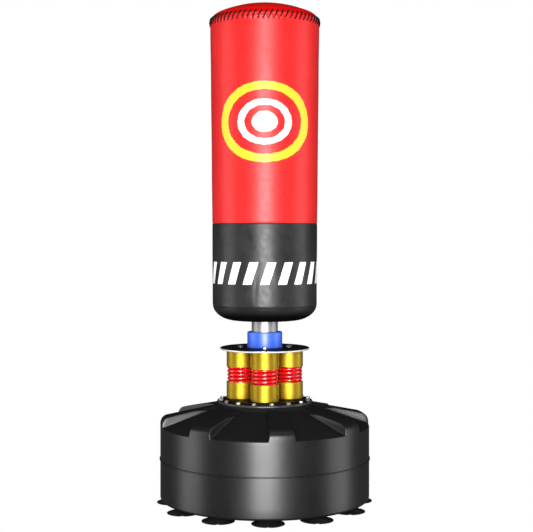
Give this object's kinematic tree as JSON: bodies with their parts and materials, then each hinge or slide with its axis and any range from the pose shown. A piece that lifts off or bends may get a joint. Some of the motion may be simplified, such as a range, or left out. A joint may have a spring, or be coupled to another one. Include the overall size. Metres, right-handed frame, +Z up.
{
  "type": "free standing punch bag",
  "caption": "Round padded punch bag on a steel tube, sprung on coil springs over a hollow ballast tank that stands on suction cups.",
  "frame": {"origin": "on the floor under the middle of the bag, at the height of the suction cup lips", "axes": "+Z up along the bag and the tube, -Y towards the front, +X to the right seen from the front"},
  "size_m": [0.6196, 0.6196, 1.432],
  "materials": {
    "base_plastic": "satin",
    "black_rubber": "satin",
    "black_steel": "satin",
    "zinc_steel": "satin",
    "brass_insert": "satin",
    "gold_steel": "gloss",
    "red_steel": "gloss",
    "blue_plastic": "gloss",
    "chrome_tube": "mirror",
    "black_plastic": "satin",
    "red_cover": "satin",
    "black_cover": "satin",
    "black_cord": "matte",
    "foam": "matte"
  },
  "bodies": {
    "base": {"base_tank": "base_plastic", "base_flange": "black_steel", "flange_bolts": "zinc_steel", "flange_inserts": "brass_insert", "spring_seat_plate": "black_steel", "lower_spring_cup_front": "gold_steel", "lower_spring_cup_right": "gold_steel", "lower_spring_cup_rear": "gold_steel", "lower_spring_cup_left": "gold_steel", "lower_column_bolts": "zinc_steel", "lower_column_nuts": "zinc_steel", "suction_cup_01": "black_rubber", "suction_cup_02": "black_rubber", "suction_cup_03": "black_rubber", "suction_cup_04": "black_rubber", "suction_cup_05": "black_rubber", "suction_cup_06": "black_rubber", "suction_cup_07": "black_rubber", "suction_cup_08": "black_rubber", "suction_cup_09": "black_rubber", "suction_cup_10": "black_rubber", "suction_cup_11": "black_rubber", "suction_cup_12": "black_rubber", "suction_cup_studs": "zinc_steel"},
    "springs": {"spring_front": "red_steel", "spring_right": "red_steel", "spring_rear": "red_steel", "spring_left": "red_steel"},
    "upper": {"top_plate": "black_steel", "upper_spring_cup_front": "gold_steel", "upper_spring_cup_right": "gold_steel", "upper_spring_cup_rear": "gold_steel", "upper_spring_cup_left": "gold_steel", "upper_column_bolts": "zinc_steel", "upper_column_nuts": "zinc_steel", "tube_spigot": "zinc_steel", "blue_collar": "blue_plastic", "centre_tube": "chrome_tube", "tube_end_cap": "black_plastic", "bag_liner": "black_plastic", "foam_core": "foam", "foam_outer": "foam", "cover_red": "red_cover", "cover_black": "black_cover", "top_panel": "red_cover", "top_foam_pad": "foam", "top_stitching": "black_cord", "bag_bottom_cap": "black_plastic"},
    "filler_plug": {"fill_plug": "base_plastic", "fill_plug_gasket": "black_rubber"}
  },
  "joints": [
    {"name": "lean_fore_aft", "type": "hinge", "parent": "base", "child": "springs", "pos_m": [0, 0, 0.3685], "axis": [1, 0, 0], "range_deg": [-12, 12], "stiffness_Nm_per_rad": 1500, "deforming": ["spring_front", "spring_right", "spring_rear", "spring_left"]},
    {"name": "lean_sideways", "type": "hinge", "parent": "springs", "child": "upper", "pos_m": [0, 0, 0.3685], "axis": [0, 1, 0], "range_deg": [-12, 12], "stiffness_Nm_per_rad": 1500, "deforming": ["spring_front", "spring_right", "spring_rear", "spring_left"]},
    {"name": "fill_plug_lift", "type": "slide", "parent": "base", "child": "filler_plug", "axis": [0, 0, 1], "range_m": [0, 0.06]}
  ]
}
